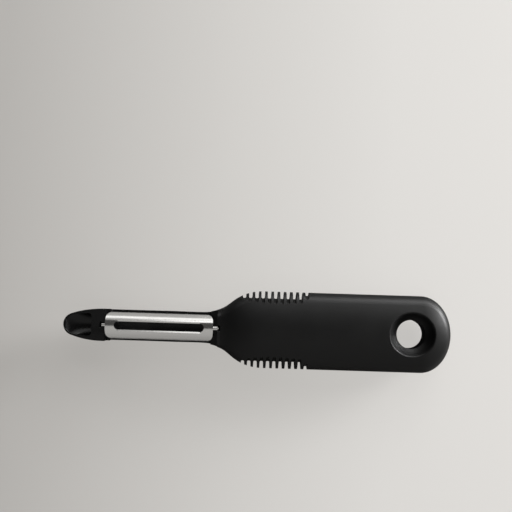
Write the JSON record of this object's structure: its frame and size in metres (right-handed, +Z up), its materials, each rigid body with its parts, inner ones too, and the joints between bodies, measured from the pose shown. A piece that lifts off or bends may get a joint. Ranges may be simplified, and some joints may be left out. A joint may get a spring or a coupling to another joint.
{
  "type": "swivel vegetable peeler",
  "caption": "Straight vegetable peeler with a slotted blade swivelling in an arched head, a spoon tip and a soft finned handle with a dished hanging hole.",
  "frame": {"origin": "on the surface that the tool lies on, under the middle of its bounding box", "axes": "+X from the spoon tip to the butt, +Y across the handle, +Z up, out of the blade's side"},
  "size_m": [0.185, 0.0366, 0.019],
  "materials": {
    "soft_grip": "matte, fine-grained soft black rubber",
    "head_plastic": "satin moulded black plastic",
    "blade_steel": "finely ground stainless steel",
    "pin_steel": "turned stainless steel"
  },
  "bodies": {
    "handle": {"grip": "soft_grip", "frame": "head_plastic"},
    "swivel": {"blade": "blade_steel", "front_pivot_pin": "pin_steel", "rear_pivot_pin": "pin_steel"}
  },
  "joints": [
    {"name": "blade_swivel", "type": "hinge", "parent": "handle", "child": "swivel", "pos_m": [-0.04675, 0, 0.013], "axis": [1, 0, 0], "range_deg": [-30, 30]}
  ]
}
